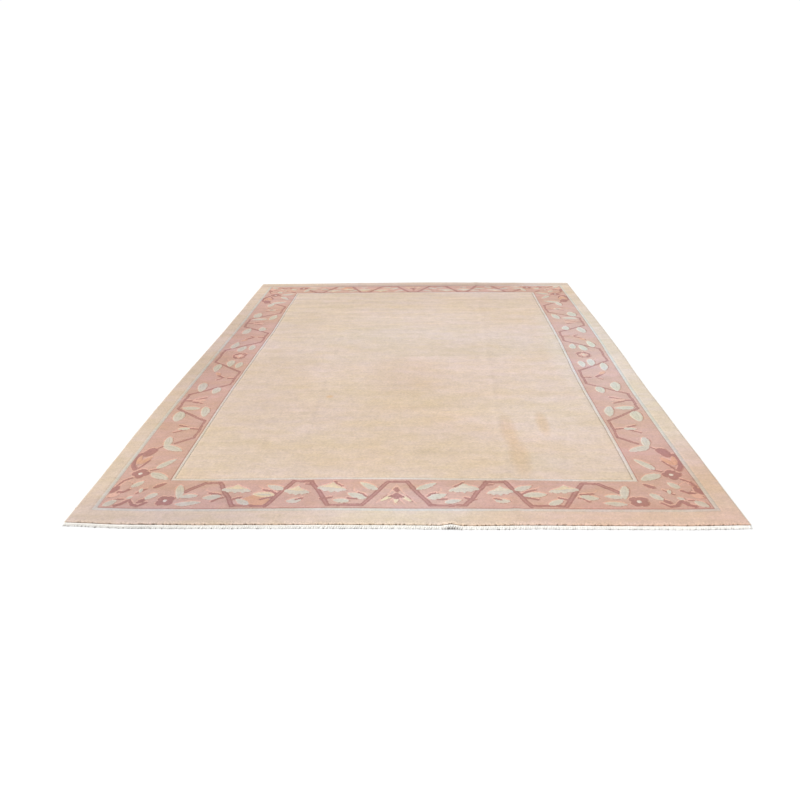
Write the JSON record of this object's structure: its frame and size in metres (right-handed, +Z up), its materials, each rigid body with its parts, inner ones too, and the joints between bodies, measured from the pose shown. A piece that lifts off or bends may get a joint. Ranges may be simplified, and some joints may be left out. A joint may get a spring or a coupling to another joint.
{
  "type": "nepalese rug",
  "caption": "Flat hand-knotted wool rug with a carved floral border band, overcast side edges and a short cotton fringe along both ends.",
  "frame": {"origin": "centre of the underside, on the floor", "axes": "+Y along the length from the near end to the far end, +X across the width, +Z up through the pile"},
  "size_m": [2.5336, 3.5723, 0.0189],
  "materials": {
    "pile_wool": "clipped matt wool pile, beige field with a dusty pink floral border",
    "overcast_wool": "matt beige wool wrapped round the side cords",
    "warp_cotton": "undyed matt cotton"
  },
  "bodies": {
    "root": {"rug": "pile_wool", "selvedge_left": "overcast_wool", "selvedge_right": "overcast_wool", "fringe_near": "warp_cotton", "fringe_far": "warp_cotton"}
  },
  "joints": []
}
